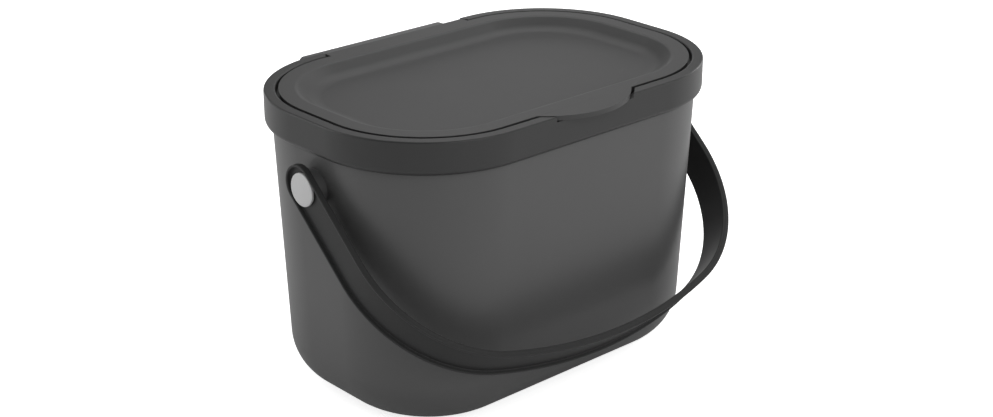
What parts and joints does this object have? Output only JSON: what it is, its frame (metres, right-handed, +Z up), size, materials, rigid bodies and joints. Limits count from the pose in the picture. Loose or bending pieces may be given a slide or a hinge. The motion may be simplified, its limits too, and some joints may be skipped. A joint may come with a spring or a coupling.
{
  "type": "compost caddy with hinged lid",
  "caption": "Tapered rounded-rectangle kitchen caddy with a lift-off rim frame, a flush dished lid on a rear hinge, a lift tab, and a swinging strap handle on side pivots.",
  "frame": {"origin": "centre of the resting face under the bucket", "axes": "+X along the long side, -Y towards the lift tab at the front, +Z up to the lid"},
  "size_m": [0.2444, 0.2016, 0.159],
  "materials": {
    "body_plastic": "satin",
    "frame_plastic": "satin",
    "lid_plastic": "satin",
    "handle_plastic": "satin",
    "pin_plastic": "satin"
  },
  "bodies": {
    "bucket_body": {"bucket": "body_plastic", "pivot_pin_left": "pin_plastic", "pivot_pin_right": "pin_plastic"},
    "frame_body": {"rim_frame": "frame_plastic"},
    "lid_body": {"lid": "lid_plastic"},
    "handle_body": {"handle": "handle_plastic"}
  },
  "joints": [
    {"name": "handle_swing", "type": "hinge", "parent": "bucket_body", "child": "handle_body", "pos_m": [0, 0, 0.124], "axis": [-1, 0, 0], "range_deg": [-6.5, 270]},
    {"name": "frame_lift", "type": "slide", "parent": "bucket_body", "child": "frame_body", "axis": [0, 0, 1], "range_m": [0, 0.05]},
    {"name": "lid_hinge", "type": "hinge", "parent": "frame_body", "child": "lid_body", "pos_m": [0, 0.07505, 0.1563], "axis": [-1, 0, 0], "range_deg": [0, 100]}
  ]
}
